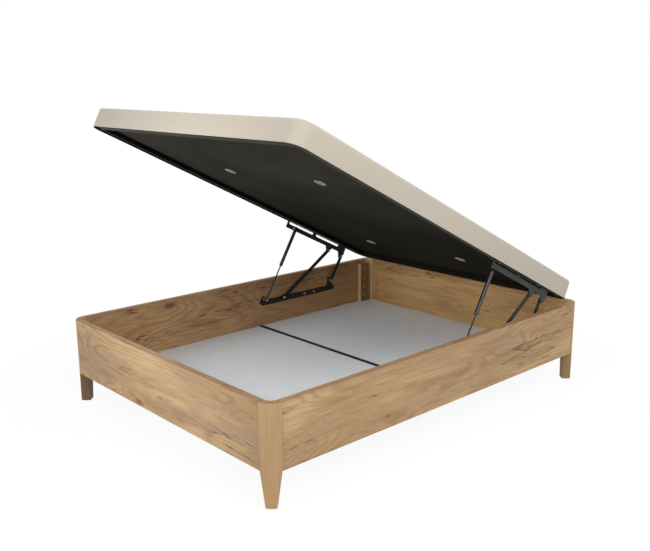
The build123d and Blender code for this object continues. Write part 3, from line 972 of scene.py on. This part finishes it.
@dataclass(frozen=True)
class Lamp:
    """A soft square lamp, or a round spot where it has a cone."""

    name: str
    place: Triple
    target: Triple
    size: float
    power: float
    cone: float | None = None
    blend: float = 0.6

    def light(self) -> bpy.types.Light:
        """Make the light itself.

        Returns:
            The light's data.
        """
        if self.cone is None:
            data = bpy.data.lights.new(self.name, "AREA")
            data.shape = "SQUARE"
            data.size = self.size
        else:
            data = bpy.data.lights.new(self.name, "SPOT")
            data.spot_size = math.radians(self.cone)
            data.spot_blend = self.blend
            data.shadow_soft_size = self.size
        data.energy = self.power
        return data

    def hang(self) -> None:
        """Hang the lamp in its place and aim it."""
        place = Vector(self.place)
        lamp = bpy.data.objects.new(self.name, self.light())
        turn = (Vector(self.target) - place).to_track_quat("-Z", "Y").to_matrix().to_4x4()
        lamp.matrix_world = Matrix.Translation(place) @ turn
        bpy.context.scene.collection.objects.link(lamp)


@dataclass
class Studio:
    """Floor, backdrop, lamps and the camera at the photograph's viewing angle."""

    film: float = 36.0
    lens: float = 46.174
    eye: Triple = (2.7523, -2.5732, 1.4597)
    heading: float = math.radians(137.507)
    pitch: float = math.radians(-13.482)
    roll: float = math.radians(-0.288)
    view_end: float = 100.0
    fill: float = 0.6
    bounce: float = 0.35
    seen_tone: float = 0.9
    glow: float = 1.02
    shadow_share: float = 0.1
    shadow_end: float = 1.4
    backdrop_start: float = 2.4
    floor_size: float = 60.0
    lamps: tuple[Lamp, ...] = (Lamp("key", (3.4, -1.0, 3.2), (0, 0, 0.4), 2.6, 112.0),
                               Lamp("fill", (-1.0, -4.6, 1.5), (0, 0, 0.4), 3.0, 54.0),
                               Lamp("inside", (0.3, -3.2, 2.1), (-0.05, 0.15, 0.15), 0.35, 190.0, 28.0))

    def camera(self) -> None:
        """Place the camera."""
        level = math.cos(self.pitch)
        forward = Vector((math.cos(self.heading) * level, math.sin(self.heading) * level,
                          math.sin(self.pitch)))
        right = Vector((math.sin(self.heading), -math.cos(self.heading), 0))
        up = right.cross(forward)
        turned_right = right * math.cos(self.roll) + up * math.sin(self.roll)
        turned_up = up * math.cos(self.roll) - right * math.sin(self.roll)
        data = bpy.data.cameras.new("camera")
        data.lens = self.lens
        data.sensor_width = self.film
        data.clip_end = self.view_end
        camera = bpy.data.objects.new("camera", data)
        turn = Matrix((turned_right, turned_up, -forward)).transposed()
        camera.matrix_world = Matrix.Translation(Vector(self.eye)) @ turn.to_4x4()
        bpy.context.scene.collection.objects.link(camera)
        bpy.context.scene.camera = camera

    @staticmethod
    def seen_share(graph: Graph) -> Socket:
        """Tell seen rays from those that light the object.

        Args:
            graph: The material or world in the making.

        Returns:
            1 for camera, glossy and transmission rays, and 0 for the rest.
        """
        path = graph.nodes.new("ShaderNodeLightPath")
        share = path.outputs["Is Camera Ray"]
        for name in ("Is Glossy Ray", "Is Transmission Ray"):
            share = graph.maths("MAXIMUM", share, path.outputs[name])
        return share

    def world(self) -> None:
        """Make the backdrop white where it is seen, and a plain soft fill elsewhere."""
        world = bpy.data.worlds.new("studio")
        bpy.context.scene.world = world
        world.use_nodes = True
        graph = Graph(world.node_tree)
        fill = graph.nodes["Background"]
        graph.feed(WHITE, fill.inputs["Color"])
        graph.feed(self.fill, fill.inputs["Strength"])
        seen = graph.add("ShaderNodeBackground", "Background", {"Color": WHITE})
        backdrop = graph.overlay(self.seen_share(graph), fill.outputs["Background"], seen)
        graph.feed(backdrop, graph.nodes["World Output"].inputs["Surface"])

    def near_share(self, recipe: Recipe) -> Socket:
        """Find how much of the floor's shadow shows, which ends where the backdrop begins."""
        distance = recipe.add("ShaderNodeVectorMath", "Value", {0: recipe.place}, operation="LENGTH")
        return recipe.level(distance, self.shadow_end, self.backdrop_start, self.shadow_share, 0.0)

    def floor(self) -> None:
        """Lay a floor that is white from above, keeps a light shadow, and is clear from below."""
        bpy.ops.object.select_all(action="DESELECT")
        bpy.ops.mesh.primitive_plane_add(size=self.floor_size, location=(0, 0, 0))
        floor = bpy.context.object
        floor.name = "studio_floor"
        recipe = Recipe("studio_floor")
        seen = self.seen_share(recipe)
        recipe.finish(recipe.level(seen, 0.0, 1.0, self.bounce, self.seen_tone), 0.9)
        glow = recipe.add("ShaderNodeEmission", "Emission", {"Strength": self.glow})
        white = recipe.maths("SUBTRACT", 1.0, self.near_share(recipe))
        matt = recipe.shader.outputs["BSDF"]
        above = recipe.overlay(recipe.maths("MULTIPLY", seen, white), matt, glow)
        below = recipe.add("ShaderNodeNewGeometry", "Backfacing")
        clear = recipe.add("ShaderNodeBsdfTransparent", "BSDF")
        recipe.feed(recipe.overlay(below, above, clear), recipe.nodes["Material Output"].inputs["Surface"])
        floor.data.materials.append(recipe.material)

    def build(self) -> None:
        """Set up the whole studio."""
        self.camera()
        for lamp in self.lamps:
            lamp.hang()
        self.world()
        self.floor()
        bpy.context.scene.view_settings.view_transform = "Standard"


def main() -> None:
    """Build each sub-assembly, then the studio."""
    logging.basicConfig(level=logging.INFO)
    StorageBox().build()
    FloorPanels().build()
    LiftMechanism().build()
    MattressLid().build()
    Studio().build()


if __name__ == "__main__":
    main()
